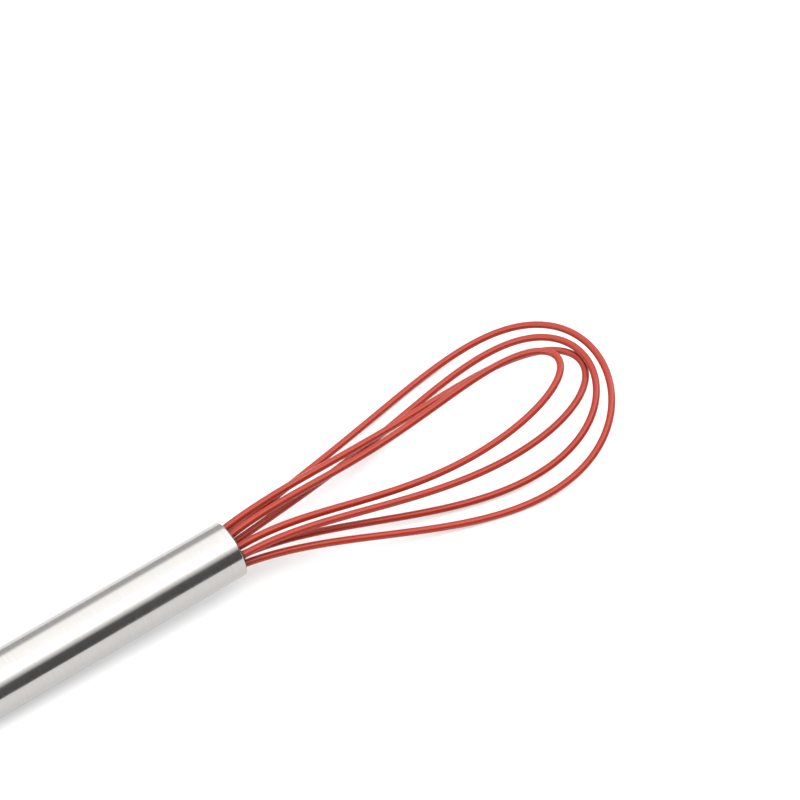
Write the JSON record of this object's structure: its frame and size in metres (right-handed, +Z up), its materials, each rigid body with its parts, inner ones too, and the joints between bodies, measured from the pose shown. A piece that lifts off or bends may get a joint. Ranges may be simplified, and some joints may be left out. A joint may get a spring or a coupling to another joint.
{
  "type": "hand whisk",
  "caption": "Hand whisk with nested silicone-coated wire loops that spread and scoop from a brushed steel tube handle, with a swinging hanging ring.",
  "frame": {"origin": "centre of the footprint on the surface the whisk lies on, lying as it rests by itself", "axes": "+X along the handle towards the loops, +Z up, +Y across, the mirror plane's normal"},
  "size_m": [0.2748, 0.0662, 0.0237],
  "materials": {
    "tube_steel": "brushed round the tube, satin",
    "cap_steel": "satin",
    "hanger_steel": "polished",
    "disc_steel": "pressed",
    "spring_wire": "drawn",
    "red_silicone": "satin, moulded",
    "seal_resin": "dark, satin",
    "potting_resin": "cast",
    "ring_rubber": "moulded"
  },
  "bodies": {
    "whisk": {"handle_tube": "tube_steel", "mouth_seal": "seal_resin", "guide_disc": "disc_steel", "potting_collar": "potting_resin", "anchor_disc": "disc_steel", "crimp_ferrules": "disc_steel", "coat_1": "red_silicone", "coat_2": "red_silicone", "coat_3": "red_silicone", "coat_4": "red_silicone", "core_1": "spring_wire", "core_2": "spring_wire", "core_3": "spring_wire", "core_4": "spring_wire", "butt_cap": "cap_steel", "cap_seal": "ring_rubber", "hanger_eye": "hanger_steel", "eye_washer": "hanger_steel", "eye_nut": "hanger_steel"},
    "ring": {"hanging_ring": "hanger_steel"}
  },
  "joints": [
    {"name": "ring_swing", "type": "hinge", "parent": "whisk", "child": "ring", "pos_m": [-0.12421, 0, 0.00889], "axis": [0, 1, 0], "range_deg": [-84, 145]}
  ]
}
